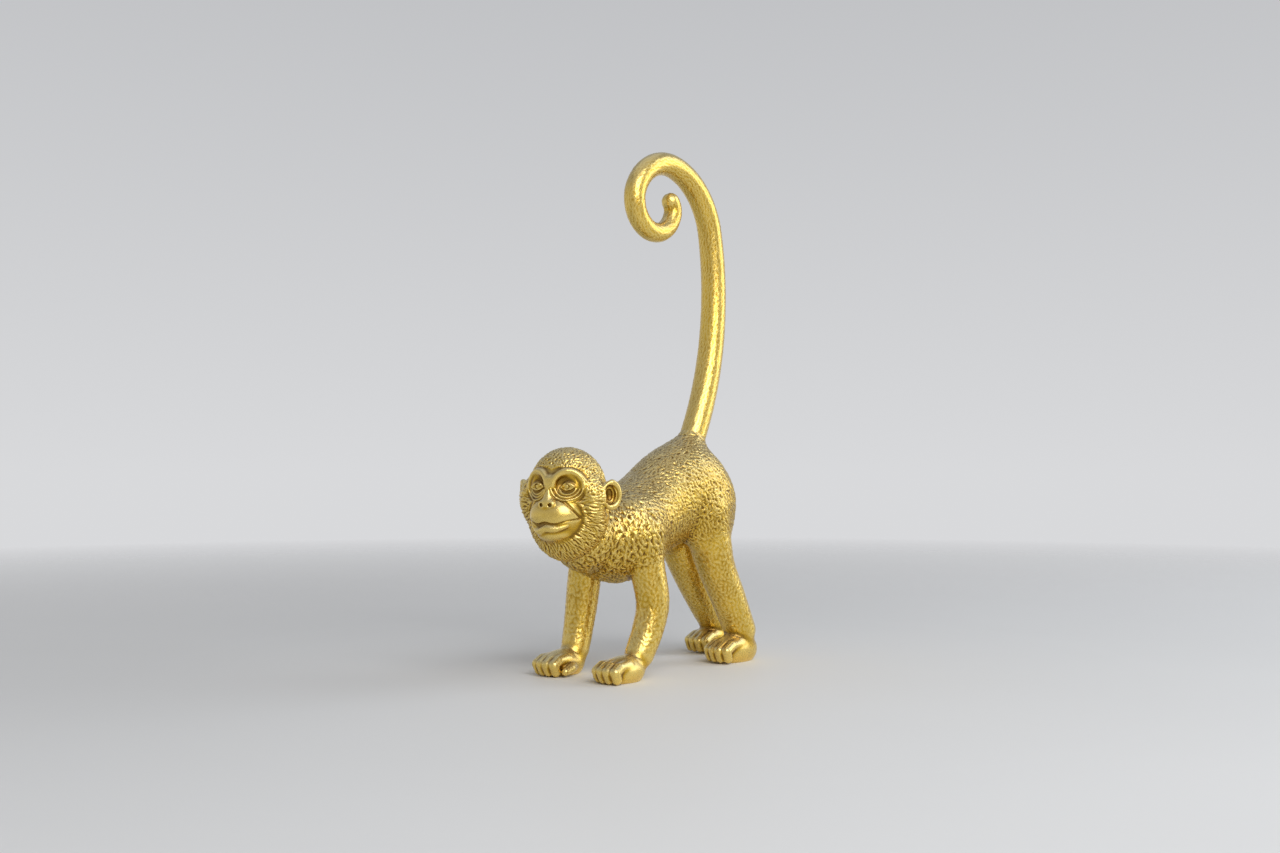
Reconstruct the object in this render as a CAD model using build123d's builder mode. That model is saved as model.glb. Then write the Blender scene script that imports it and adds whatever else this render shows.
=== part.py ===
"""Monkey figurine walking on all fours: seven pinned castings on steel wire, in millimetres.

The monkey faces -Y, its left side is +X, and it stands on the plane z = 0.
"""
import os
from math import cos, radians, sin, sqrt

from build123d import *

# Fits
glue_gap = 0.1          # film of glue round every spigot, wire and joint face
wire_anchor = 6.0       # length of each wire that is glued into the torso

# Torso
torso_front = -41.8     # y of the breast
torso_length = 82.4
torso_width = 37.0
back_height = 91.0      # top of the rump above the floor

# Each row: place along the torso, then the belly, the back and the width there
torso_rows_shares = (
    (0.012, 0.500, 0.626, 0.32),
    (0.047, 0.450, 0.680, 0.64),
    (0.118, 0.412, 0.745, 0.89),
    (0.237, 0.398, 0.797, 0.99),
    (0.379, 0.445, 0.856, 0.95),
    (0.521, 0.500, 0.944, 0.93),
    (0.664, 0.544, 0.998, 0.97),
    (0.782, 0.571, 0.986, 0.985),
    (0.889, 0.585, 0.912, 0.855),
    (0.948, 0.628, 0.846, 0.63),
    (0.983, 0.670, 0.784, 0.335),
)
breast_tip_share = 0.56
rump_tip_share = 0.727

# Haunches: the swellings of the rump behind the thighs
haunch_width = 16.4
haunch_depth = 26.0
haunch_height = 25.0
haunch_spread = 9.4
haunch_y = 24.5
haunch_z = 64.5

# Neck
neck_joint_y = -38.0
neck_joint_z = 56.5
neck_rise = 20.0        # degrees that the neck points upwards
neck_width = 28.0
neck_height = 28.0
neck_root_length = 12.0
neck_swell_share = 1.08
dowel_diameter = 5.0
dowel_length = 24.0

# Head, in its own plane: x to its left, y to its back
head_x = 0.4
head_y = -51.0
head_z = 69.0
head_turn = 14.0        # degrees, towards the monkey's left
skull_width = 29.4
skull_depth = 28.6
skull_height = 31.4
skull_lift = 2.5
skull_back = 0.8
jaw_width = 32.4
jaw_depth = 23.8
jaw_height = 31.0
jaw_drop = 7.5
beard_width = 23.0
beard_depth = 18.4
beard_height = 23.0
beard_drop = 12.8
muzzle_width = 19.8
muzzle_depth = 17.4
muzzle_height = 17.0
muzzle_forward = 8.0
muzzle_drop = 7.0
chin_width = 14.0
chin_depth = 13.0
chin_height = 8.4
chin_forward = 9.2
chin_drop = 13.0
brow_width = 10.4
brow_depth = 5.2
brow_height = 4.4
brow_forward = 9.9
brow_lift = 7.6
brow_turn = 30.0        # degrees that a brow sweeps back at its outer end
eye_spacing = 12.6
eye_lift = 3.5
socket_diameter = 8.8
socket_forward = 14.0
eyeball_diameter = 5.2
eyeball_forward = 8.6
bridge_width = 3.6
bridge_depth = 5.2
bridge_height = 10.0
bridge_forward = 12.6
bridge_lift = 1.4
nose_width = 7.2
nose_depth = 5.0
nose_height = 5.4
nose_forward = 14.8
nose_drop = 2.8
nostril_diameter = 1.6
nostril_spacing = 3.5
mouth_width = 18.6
mouth_drop = 9.8
mouth_slot = 0.8
mouth_depth = 1.2
mouth_smile = 24.0      # radius of the mouth line
ear_spacing = 35.6
ear_forward = 1.1
ear_height = 11.6
ear_breadth = 8.8
ear_thickness = 5.6
ear_rim = 1.7
ear_root_length = 9.0
ear_root_depth = 5.0
ear_root_height = 7.5
lock_length = 10.0      # locks of the ruff round the cheeks and chin
lock_width = 4.6
lock_thickness = 3.2
lock_rise = 0.5         # height of a lock above the jaw
lock_count = 11
ruff_reach_share = 0.86
ruff_turn = 200.0       # degrees round the face, below the ears
ear_facing = 55.0       # degrees that an ear turns out from straight ahead

# Arms
shoulder_height = 53.0
shoulder_spread = 12.3
elbow_height = 26.5
elbow_spread = 15.8
wrist_height = 9.5
arm_spread = 15.2
shoulder_diameter = 15.0
elbow_diameter = 12.9
wrist_diameter = 10.8
left_shoulder_y = -23.0
left_elbow_y = -20.8
left_wrist_y = -27.5
right_shoulder_y = -24.5
right_elbow_y = -26.4
right_wrist_y = -30.5

# Legs
hip_height = 62.0
hip_spread = 10.0
knee_height = 41.5
knee_spread = 11.0
ankle_height = 11.0
leg_spread = 13.2
hip_diameter = 18.0
knee_diameter = 15.0
ankle_diameter = 12.6
left_hip_y = 18.5
left_knee_y = 23.6
left_ankle_y = 39.2
right_hip_y = 22.0
right_knee_y = 31.5
right_ankle_y = 56.5

# Hands and feet
hand_length = 22.5
hand_width = 12.6
hand_height = 11.0
left_hand_tip = -49.0
right_hand_tip = -49.8
foot_length = 27.5
foot_width = 12.6
foot_height = 13.0
left_foot_tip = 20.0
right_foot_tip = 40.0
digits = 4
palm_length_share = 0.84
palm_lift_share = 0.38
digit_length_share = 0.56
digit_height_share = 0.52
digit_lift_share = 0.3
thumb_reach_share = 0.52
thumb_back_share = 0.52
digit_overlap_share = 1.25
thumb_turn = 25.0       # degrees that a thumb points inwards

# Wires
limb_wire_diameter = 2.4
tail_wire_diameter = 3.0

# Tail: a stem and a curl of ever tighter bends, in the plane x = 0
tail_root_y = 23.5
tail_root_z = 92.0
tail_lean = 27.0        # degrees backwards at the root
tail_spigot = 9.0       # length sunk in the rump
tail_root_diameter = 11.0
tail_tip_diameter = 7.4
stem_radius = 134.0
crest_radius = 31.0
crown_radius = 21.0
curl_radius = 12.0
tip_radius = 5.5
stem_turn = 38.0        # degrees, as the turns below
crest_turn = 66.5
crown_turn = 75.5
curl_turn = 190.5
tip_turn = 60.0
tail_bends = (
    (stem_radius, stem_turn),
    (crest_radius, crest_turn),
    (crown_radius, crown_turn),
    (curl_radius, curl_turn),
    (tip_radius, tip_turn),
)
tail_wire_bend_count = 3     # the wire ends where the curl turns down

def tube_along(path, places, radii, grow=0):
    """A tapered tube with ball ends along the path, thicker all round by grow.

    The places are parts of the path's length, and each has its own radius.
    """
    rings = []
    for place, radius in zip(places, radii):
        plane = Plane(origin=path @ place, x_dir=(1, 0, 0), z_dir=path % place)
        with BuildSketch(plane) as ring:
            Circle(radius + grow)
        rings.append(ring.sketch)
    with BuildPart() as tube:
        sweep(sections=rings, path=path, multisection=True)
        for place, radius in ((places[0], radii[0]), (places[-1], radii[-1])):
            with Locations(path @ place):
                Sphere(radius + grow)
    return tube.part


def wire_along(path, diameter, grow=0):
    """A bent wire along the path, thicker all round by grow."""
    with BuildSketch(Plane(origin=path @ 0, x_dir=(1, 0, 0), z_dir=path % 0)) as end:
        Circle(diameter / 2 + grow)
    with BuildPart() as wire:
        sweep(sections=end.sketch, path=path)
    return wire.part


def ellipsoid(width, depth, height):
    with BuildPart() as ball:
        Sphere(1)
        scale(by=(width / 2, depth / 2, height / 2))
    return ball.part


def limb_path(top, middle, bottom):
    with BuildLine() as route:
        ThreePointArc(top, middle, bottom)
    return route.wires()[0]


def limb_wire_path(path, top_radius):
    """Route of a limb's wire: its glued end in the torso, then the limb's own bend."""
    glued_end = path @ 0 - (path % 0) * (top_radius + wire_anchor)
    with BuildLine() as route:
        Line(glued_end, path @ 0)
        add(path.edges())
    return route.wires()[0]


def paw(side, spread, tip, length, width, height):
    """A hand or foot: palm, digits and thumb, with a flat sole."""
    palm_length = length * palm_length_share
    digit_length = length * digit_length_share
    digit = ellipsoid(width / digits * digit_overlap_share, digit_length, height * digit_height_share)
    with BuildPart() as shape:
        with Locations((side * spread, tip + length - palm_length / 2, height * palm_lift_share)):
            add(ellipsoid(width, palm_length, height))
        for i in range(digits):
            across = width * ((i + 0.5) / digits - 0.5)
            set_back = digit_length * (across / width)**2
            with Locations((side * spread + across, tip + digit_length / 2 + set_back,
                            height * digit_lift_share)):
                add(digit)
        with Locations(Location((side * (spread - width * thumb_reach_share),
                                 tip + length * thumb_back_share,
                                 height * digit_lift_share), (0, 0, -side * thumb_turn))):
            add(digit)
        split(bisect_by=Plane.XY, keep=Keep.TOP)
    return shape.part


# Routes and thicknesses of the limbs
limb_place_shares = (0, 0.5, 1)
arm_radii = (shoulder_diameter / 2, elbow_diameter / 2, wrist_diameter / 2)
leg_radii = (hip_diameter / 2, knee_diameter / 2, ankle_diameter / 2)
limbs = {
    "left_arm": (arm_radii, limb_path((shoulder_spread, left_shoulder_y, shoulder_height),
                                      (elbow_spread, left_elbow_y, elbow_height),
                                      (arm_spread, left_wrist_y, wrist_height))),
    "right_arm": (arm_radii, limb_path((-shoulder_spread, right_shoulder_y, shoulder_height),
                                       (-elbow_spread, right_elbow_y, elbow_height),
                                       (-arm_spread, right_wrist_y, wrist_height))),
    "left_leg": (leg_radii, limb_path((hip_spread, left_hip_y, hip_height),
                                      (knee_spread, left_knee_y, knee_height),
                                      (leg_spread, left_ankle_y, ankle_height))),
    "right_leg": (leg_radii, limb_path((-hip_spread, right_hip_y, hip_height),
                                       (-knee_spread, right_knee_y, knee_height),
                                       (-leg_spread, right_ankle_y, ankle_height))),
}
paws = {
    "left_arm": (1, arm_spread, left_hand_tip, hand_length, hand_width, hand_height),
    "right_arm": (-1, arm_spread, right_hand_tip, hand_length, hand_width, hand_height),
    "left_leg": (1, leg_spread, left_foot_tip, foot_length, foot_width, foot_height),
    "right_leg": (-1, leg_spread, right_foot_tip, foot_length, foot_width, foot_height),
}

# Route and thickness of the tail
heading = radians(tail_lean)
tail_way = Vector(0, sin(heading), cos(heading))
tail_root = Vector(0, tail_root_y, tail_root_z)
tail_foot = tail_root - tail_way * tail_spigot
here = tail_root
tail_arcs = []          # start, middle and end of each bend
tail_lengths = [0, tail_spigot]
for bend_radius, bend_angle in tail_bends:
    hub = here + Vector(0, -cos(heading), sin(heading)) * bend_radius
    arc = []
    for turned in (0, bend_angle / 2, bend_angle):
        now = heading - radians(turned)
        arc.append(hub + Vector(0, cos(now), -sin(now)) * bend_radius)
    tail_arcs.append(arc)
    tail_lengths.append(tail_lengths[-1] + bend_radius * radians(bend_angle))
    heading -= radians(bend_angle)
    here = arc[-1]
tail_places = [length / tail_lengths[-1] for length in tail_lengths]
tail_taper = (tail_root_diameter - tail_tip_diameter) / 2
tail_radii = [tail_root_diameter / 2 - tail_taper * place**2 for place in tail_places]
with BuildLine() as tail_route:
    Line(tail_foot, tail_root)
    for arc in tail_arcs:
        ThreePointArc(*arc)
tail_path = tail_route.wires()[0]
with BuildLine() as tail_core_route:
    Line(tail_foot - tail_way * (tail_root_diameter / 2 + wire_anchor), tail_root)
    for arc in tail_arcs[:tail_wire_bend_count]:
        ThreePointArc(*arc)
tail_core = tail_core_route.wires()[0]

# Joint between neck and head
neck_way = Vector(0, -cos(radians(neck_rise)), sin(radians(neck_rise)))
neck_joint = Plane(origin=(0, neck_joint_y, neck_joint_z), x_dir=(1, 0, 0), z_dir=neck_way)
head_plane = Plane(origin=(head_x, head_y, head_z),
                   x_dir=(cos(radians(head_turn)), sin(radians(head_turn)), 0),
                   z_dir=(0, 0, 1))


def neck_ring(along, share):
    with BuildSketch(neck_joint.offset(along)) as face:
        Ellipse(neck_width / 2 * share, neck_height / 2 * share)
    return face.sketch


def neck_pin(grow=0):
    with BuildPart(neck_joint) as pin:
        Cylinder(dowel_diameter / 2 + grow, dowel_length + 2 * grow)
    return pin.part


def keep(node, name):
    node.part.label = name
    export_step(node.part, f"parts/{name}.step")


os.makedirs("parts", exist_ok=True)

# Torso
with BuildPart() as torso:
    body = [Vertex(0, torso_front, back_height * breast_tip_share)]
    for along_share, belly_share, back_share, width_share in torso_rows_shares:
        middle = back_height * (belly_share + back_share) / 2
        plane = Plane(origin=(0, torso_front + torso_length * along_share, middle),
                      x_dir=(1, 0, 0), z_dir=(0, 1, 0))
        with BuildSketch(plane) as row:
            Ellipse(torso_width / 2 * width_share, back_height * (back_share - belly_share) / 2)
        body.append(row.sketch)
    body.append(Vertex(0, torso_front + torso_length, back_height * rump_tip_share))
    loft(body)
    loft([neck_ring(-neck_root_length, neck_swell_share), neck_ring(0, 1)])
    for side in (1, -1):
        with Locations((side * haunch_spread, haunch_y, haunch_z)):
            add(ellipsoid(haunch_width, haunch_depth, haunch_height))
    split(bisect_by=neck_joint.offset(-glue_gap / 2), keep=Keep.BOTTOM)
    for radii, path in limbs.values():
        add(tube_along(path, limb_place_shares, radii, glue_gap), mode=Mode.SUBTRACT)
        add(wire_along(limb_wire_path(path, radii[0]), limb_wire_diameter, glue_gap),
            mode=Mode.SUBTRACT)
    add(tube_along(tail_path, tail_places, tail_radii, glue_gap), mode=Mode.SUBTRACT)
    add(wire_along(tail_core, tail_wire_diameter, glue_gap), mode=Mode.SUBTRACT)
    add(neck_pin(glue_gap), mode=Mode.SUBTRACT)
keep(torso, "torso")

# Mouth line: a thin arched sheet that reaches a little way into the muzzle
with BuildPart() as mouth_cut:
    with BuildSketch(Plane.XZ) as slot:
        with Locations((0, mouth_smile - mouth_drop)):
            Circle(mouth_smile + mouth_slot / 2)
            Circle(mouth_smile - mouth_slot / 2, mode=Mode.SUBTRACT)
        with Locations((0, -mouth_drop)):
            Rectangle(mouth_width, muzzle_height, mode=Mode.INTERSECT)
    extrude(amount=muzzle_forward + muzzle_depth)
    with Locations((0, -muzzle_forward, -muzzle_drop)):
        add(ellipsoid(muzzle_width - 2 * mouth_depth, muzzle_depth - 2 * mouth_depth,
                      muzzle_height - 2 * mouth_depth), mode=Mode.SUBTRACT)

# Places of the ruff's locks: on the jaw, each lying away from the face
ruff_planes = []
for step in range(lock_count):
    angle = radians(ruff_turn * (step / (lock_count - 1) - 1 / 2) - 90)
    spot = Vector(jaw_width / 2 * ruff_reach_share * cos(angle),
                  -jaw_depth / 2 * sqrt(1 - ruff_reach_share**2),
                  jaw_height / 2 * ruff_reach_share * sin(angle))
    upright = Vector(spot.X / jaw_width**2, spot.Y / jaw_depth**2, spot.Z / jaw_height**2).normalized()
    away = Vector(cos(angle), 0, sin(angle))
    ruff_planes.append(Plane(origin=spot - Vector(0, 0, jaw_drop),
                             x_dir=away - upright * away.dot(upright), z_dir=upright))

# Head as it looks straight ahead
with BuildPart() as face_form:
    with Locations((0, skull_back, skull_lift)):
        add(ellipsoid(skull_width, skull_depth, skull_height))
    with Locations((0, 0, -jaw_drop)):
        add(ellipsoid(jaw_width, jaw_depth, jaw_height))
    with Locations((0, 0, -beard_drop)):
        add(ellipsoid(beard_width, beard_depth, beard_height))
    for lock_plane in ruff_planes:
        with Locations(lock_plane.offset(lock_rise - lock_thickness / 2)):
            add(ellipsoid(lock_length, lock_width, lock_thickness))
    for side in (1, -1):
        with Locations(Location((side * eye_spacing / 2, -brow_forward, brow_lift),
                                (0, 0, side * brow_turn))):
            add(ellipsoid(brow_width, brow_depth, brow_height))
    for side in (1, -1):
        with Locations((side * eye_spacing / 2, -socket_forward, eye_lift)):
            Sphere(socket_diameter / 2, mode=Mode.SUBTRACT)
    for side in (1, -1):
        with Locations((side * eye_spacing / 2, -eyeball_forward, eye_lift)):
            Sphere(eyeball_diameter / 2)
    with Locations((0, -muzzle_forward, -muzzle_drop)):
        add(ellipsoid(muzzle_width, muzzle_depth, muzzle_height))
    with Locations((0, -chin_forward, -chin_drop)):
        add(ellipsoid(chin_width, chin_depth, chin_height))
    with Locations((0, -bridge_forward, bridge_lift)):
        add(ellipsoid(bridge_width, bridge_depth, bridge_height))
    with Locations((0, -nose_forward, -nose_drop)):
        add(ellipsoid(nose_width, nose_depth, nose_height))
    for side in (1, -1):
        with Locations((side * nostril_spacing / 2, -nose_forward - nose_depth / 2, -nose_drop)):
            Sphere(nostril_diameter / 2, mode=Mode.SUBTRACT)
    add(mouth_cut.part, mode=Mode.SUBTRACT)
    for side in (1, -1):
        facing = (side * sin(radians(ear_facing)), -cos(radians(ear_facing)), 0)
        ear_plane = Plane(origin=(side * ear_spacing / 2, -ear_forward, 0),
                          x_dir=(0, 0, 1), z_dir=facing)
        with Locations((side * (ear_spacing - ear_root_length) / 2, -ear_forward, 0)):
            add(ellipsoid(ear_root_length, ear_root_depth, ear_root_height))
        with Locations(ear_plane):
            add(ellipsoid(ear_height, ear_breadth, ear_thickness))
        with Locations(ear_plane.offset(ear_thickness / 2)):
            add(ellipsoid(ear_height - 2 * ear_rim, ear_breadth - 2 * ear_rim, ear_thickness),
                mode=Mode.SUBTRACT)

# Head, turned on its neck
with BuildPart() as head:
    add(head_plane.location * face_form.part)
    loft([neck_ring(0, 1), neck_ring(neck_root_length, 1)])
    split(bisect_by=neck_joint.offset(glue_gap / 2), keep=Keep.TOP)
    add(neck_pin(glue_gap), mode=Mode.SUBTRACT)
keep(head, "head")

with BuildPart() as neck_dowel:
    add(neck_pin())
keep(neck_dowel, "neck_dowel")

# Arms and legs, each with its wire
for limb_name, (radii, path) in limbs.items():
    wire_path = limb_wire_path(path, radii[0])
    with BuildPart() as limb:
        add(tube_along(path, limb_place_shares, radii))
        add(paw(*paws[limb_name]))
        add(wire_along(wire_path, limb_wire_diameter, glue_gap), mode=Mode.SUBTRACT)
    keep(limb, limb_name)
    with BuildPart() as limb_wire:
        add(wire_along(wire_path, limb_wire_diameter))
    keep(limb_wire, f"{limb_name}_wire")

# Tail and its wire
with BuildPart() as tail:
    add(tube_along(tail_path, tail_places, tail_radii))
    add(wire_along(tail_core, tail_wire_diameter, glue_gap), mode=Mode.SUBTRACT)
keep(tail, "tail")

with BuildPart() as tail_wire:
    add(wire_along(tail_core, tail_wire_diameter))
keep(tail_wire, "tail_wire")
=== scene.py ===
import math
import bmesh
import bpy
import numpy as np
import openvdb
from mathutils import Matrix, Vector, kdtree


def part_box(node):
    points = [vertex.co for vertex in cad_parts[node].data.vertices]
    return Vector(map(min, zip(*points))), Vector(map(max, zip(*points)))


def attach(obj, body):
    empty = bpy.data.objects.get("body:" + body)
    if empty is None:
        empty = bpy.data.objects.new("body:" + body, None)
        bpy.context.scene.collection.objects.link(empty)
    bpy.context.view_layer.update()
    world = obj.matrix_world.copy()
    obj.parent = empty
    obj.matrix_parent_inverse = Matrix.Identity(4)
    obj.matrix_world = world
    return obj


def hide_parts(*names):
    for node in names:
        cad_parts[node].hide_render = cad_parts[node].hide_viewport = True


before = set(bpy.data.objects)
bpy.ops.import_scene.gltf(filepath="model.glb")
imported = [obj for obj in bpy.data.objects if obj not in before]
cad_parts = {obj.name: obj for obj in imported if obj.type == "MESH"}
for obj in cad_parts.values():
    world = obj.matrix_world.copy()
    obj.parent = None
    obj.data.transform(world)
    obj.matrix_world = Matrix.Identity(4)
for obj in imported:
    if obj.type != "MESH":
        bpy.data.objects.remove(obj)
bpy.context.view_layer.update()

# Sizes below are in millimetres, in the frame's axes, unless a line says otherwise.
metre = 0.001
farOut = 9.0            # distance given to clay that nothing has touched yet
blendMargin = 1.5       # how far around a form its blend is worked out, beyond the blend's own width
draws = np.random.default_rng(20)


# Clay: a block of distances on a grid, shaped by adding and carving soft forms

class Clay:
    def __init__(self, low, high, voxel):
        self.voxel = voxel
        counts = [int(math.ceil((high[i] - low[i]) / voxel)) + 1 for i in range(3)]
        self.axes = [low[i] + voxel * np.arange(counts[i], dtype=np.float32) for i in range(3)]
        self.field = np.full(counts, farOut, np.float32)

    def window(self, low, high):
        cut = []
        for axis, a, b in zip(self.axes, low, high):
            cut.append(slice(int(np.searchsorted(axis, a)), int(np.searchsorted(axis, b))))
        x = self.axes[0][cut[0]][:, None, None]
        y = self.axes[1][cut[1]][None, :, None]
        z = self.axes[2][cut[2]][None, None, :]
        return tuple(cut), x, y, z

    def add(self, form, soft):
        self.blend(form, soft, 1)

    def carve(self, form, soft):
        self.blend(form, soft, -1)

    def blend(self, form, soft, sign):
        low, high, distance = form
        reach = soft + blendMargin
        cut, x, y, z = self.window([v - reach for v in low], [v + reach for v in high])
        old = self.field[cut]
        if old.size == 0:
            return
        new = distance(x, y, z)
        share = np.clip(0.5 + 0.5 * (new - sign * old) / soft, 0, 1)
        mixed = new + (sign * old - new) * share - soft * share * (1 - share)
        self.field[cut] = sign * mixed

    def front(self, x, z):
        # where the clay begins along y, seen from the face
        i = int(np.argmin(np.abs(self.axes[0] - x)))
        k = int(np.argmin(np.abs(self.axes[2] - z)))
        row = self.field[i, :, k]
        j = int(np.argmax(row < 0))
        share = row[j - 1] / (row[j - 1] - row[j] + 1e-9)
        return float(self.axes[1][j - 1] + self.voxel * share)

    def mesh(self):
        grid = openvdb.FloatGrid(farOut)
        grid.copyFromArray(self.field)
        grid.transform = openvdb.createLinearTransform(voxelSize=self.voxel)
        points, quads = grid.convertToQuads(0.0)
        points = np.asarray(points, np.float64) + [float(axis[0]) for axis in self.axes]
        return points, np.asarray(quads, np.int64)


# Forms: (lowest corner, highest corner, distance function)

def ball(centre, radii, turn=0.0, tilt=0.0):
    # turn is about z, then tilt about the turned x, in degrees
    ct, st = math.cos(math.radians(turn)), math.sin(math.radians(turn))
    cl, sl = math.cos(math.radians(tilt)), math.sin(math.radians(tilt))
    axes = ((ct, st, 0.0), (-st * cl, ct * cl, sl), (st * sl, -ct * sl, cl))
    half = [math.sqrt(sum((radii[k] * axes[k][i]) ** 2 for k in range(3))) for i in range(3)]

    def distance(x, y, z):
        dx, dy, dz = x - centre[0], y - centre[1], z - centre[2]
        near = 0.0
        slope = 0.0
        for (ax, ay, az), r in zip(axes, radii):
            along = (dx * ax + dy * ay + dz * az) / r
            near = near + along * along
            slope = slope + (along / r) ** 2
        near = np.sqrt(near)
        return (near * (near - 1) / np.sqrt(slope + 1e-9)).astype(np.float32)

    low = [c - h for c, h in zip(centre, half)]
    high = [c + h for c, h in zip(centre, half)]
    return low, high, distance


def rod(start, end, startRadius, endRadius):
    span = [b - a for a, b in zip(start, end)]
    length2 = sum(s * s for s in span) + 1e-9

    def distance(x, y, z):
        dx, dy, dz = x - start[0], y - start[1], z - start[2]
        h = np.clip((dx * span[0] + dy * span[1] + dz * span[2]) / length2, 0, 1)
        off = np.sqrt((dx - h * span[0]) ** 2 + (dy - h * span[1]) ** 2 + (dz - h * span[2]) ** 2)
        return (off - (startRadius + (endRadius - startRadius) * h)).astype(np.float32)

    most = max(startRadius, endRadius)
    low = [min(a, b) - most for a, b in zip(start, end)]
    high = [max(a, b) + most for a, b in zip(start, end)]
    return low, high, distance


def hoop(centre, facing, radius, thick, squeeze=1.0, thin=0.0):
    # a ring about the facing direction; squeeze below 1 narrows it across,
    # and thin slims its edge to the right of that direction, or to the left where negative
    f = np.array(facing) / np.linalg.norm(facing)
    across = np.cross(f, (0, 0, 1.0))
    across = across / np.linalg.norm(across)
    up = np.cross(across, f)

    def distance(x, y, z):
        dx, dy, dz = x - centre[0], y - centre[1], z - centre[2]
        a = (dx * across[0] + dy * across[1] + dz * across[2]) / squeeze
        b = dx * up[0] + dy * up[1] + dz * up[2]
        c = dx * f[0] + dy * f[1] + dz * f[2]
        ring = np.sqrt(a * a + b * b) - radius
        slim = 1 - abs(thin) * np.clip(a / radius * np.sign(thin), 0, 1)
        return (np.sqrt(ring * ring + c * c) - thick * slim).astype(np.float32)

    reach = radius + thick
    return [v - reach for v in centre], [v + reach for v in centre], distance


def strand(points, radii):
    # rods end to end as one form
    rods = [rod(points[i], points[i + 1], radii[i], radii[i + 1]) for i in range(len(points) - 1)]

    def distance(x, y, z):
        near = rods[0][2](x, y, z)
        for piece in rods[1:]:
            near = np.minimum(near, piece[2](x, y, z))
        return near

    low = np.min([piece[0] for piece in rods], axis=0)
    high = np.max([piece[1] for piece in rods], axis=0)
    return low, high, distance


def curvePoints(knots, count):
    # a smooth line through given knots
    knots = np.array(knots, float)
    padded = np.vstack([2 * knots[0] - knots[1], knots, 2 * knots[-1] - knots[-2]])
    out = []
    for t in np.linspace(0, len(knots) - 1, count):
        i = min(int(t), len(knots) - 2)
        u = t - i
        a, b, c, d = padded[i:i + 4]
        out.append(0.5 * (2 * b + (c - a) * u + (2 * a - 5 * b + 4 * c - d) * u * u
                          + (3 * b - a - 3 * c + d) * u ** 3))
    return np.array(out)


def fade(value, start, end):
    t = np.clip((value - start) / (end - start), 0, 1)
    return t * t * (3 - 2 * t)


def mirrored(place, side):
    # the place itself for side 1, its mirror image across x for side -1
    return (side * place[0], *place[1:])


# Turning clay into a piece of the figurine

def makePiece(name, points, quads, furry):
    # notes on each vertex: how hollow the cast is there, and how furry
    mesh = bpy.data.meshes.new(name)
    mesh.vertices.add(len(points))
    mesh.vertices.foreach_set("co", (points * metre).astype(np.float32).ravel())
    mesh.loops.add(quads.size)
    mesh.loops.foreach_set("vertex_index", quads.astype(np.int32).ravel())
    mesh.polygons.add(len(quads))
    mesh.polygons.foreach_set("loop_start", np.arange(0, quads.size, 4, dtype=np.int32))
    mesh.polygons.foreach_set("use_smooth", np.ones(len(quads), bool))
    mesh.update(calc_edges=True)
    mesh.validate()
    for label, values in (("cavity", hollowness(points, quads)), ("furry", furry)):
        note = mesh.attributes.new(label, "FLOAT", "POINT")
        note.data.foreach_set("value", values.astype(np.float32))
    piece = bpy.data.objects.new(name, mesh)
    bpy.context.scene.collection.objects.link(piece)
    return piece


def normalsOf(points, quads):
    a, b, c, d = (points[quads[:, i]] for i in range(4))
    face = np.cross(c - a, d - b)
    normals = np.zeros_like(points)
    for i in range(4):
        np.add.at(normals, quads[:, i], face)
    return normals / (np.linalg.norm(normals, axis=1, keepdims=True) + 1e-12)


def outward(points, quads):
    a, b, c = (points[quads[:, i]] for i in range(3))
    if np.einsum("ij,ij->i", a, np.cross(b, c)).sum() < 0:
        return quads[:, ::-1]
    return quads


def neighbours(quads, count):
    # the edges of every face in both directions, for averaging over a vertex's neighbours
    ends = np.concatenate([np.stack([quads[:, i], quads[:, (i + 1) % 4]], 1) for i in range(4)])
    ends = np.concatenate([ends, ends[:, ::-1]])
    weight = np.bincount(ends[:, 0], minlength=count)
    return ends, np.maximum(weight, 1)


def averaged(values, ends, weight, rounds):
    for _ in range(rounds):
        near = values[ends[:, 1]]
        total = [np.bincount(ends[:, 0], near[:, i], len(values)) for i in range(3)]
        values = np.stack(total, 1) / weight[:, None]
    return values


# How far around a vertex the surface is smoothed, and how much a dip below that counts
hollowReaches = ((0.7, 2.6), (1.6, 1.0))


def hollowness(points, quads):
    # how deep each vertex lies below the surface smoothed around it, from 0 to 1
    ends, weight = neighbours(quads, len(points))
    step = np.linalg.norm(points[quads[:, 0]] - points[quads[:, 1]], axis=1).mean()
    normals = normalsOf(points, quads)
    depth = 0.0
    smooth, done = points, 0
    for reach, gain in hollowReaches:
        rounds = int((reach / step) ** 2)
        smooth = averaged(smooth, ends, weight, rounds - done)
        done = rounds
        depth = depth + gain * np.einsum("ij,ij->i", smooth - points, normals)
    return np.clip(0.5 + depth, 0, 1)


def raised(points, quads, lift):
    return points + normalsOf(points, quads) * lift[:, None]


# One tuft of fur: the ranges drawn for each, then its shape along and across
tuftForm = {
    "leastMask": 0.04, "reach": 0.75, "long": (0.8, 1.15), "wide": (0.85, 1.15), "tall": (0.75, 1.1),
    "bend": 0.5, "bendAt": 0.3, "taper": 0.6, "rounding": 0.35, "root": 0.45, "rise": (-0.9, 0.7),
    "groove": 0.14,
}


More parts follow.
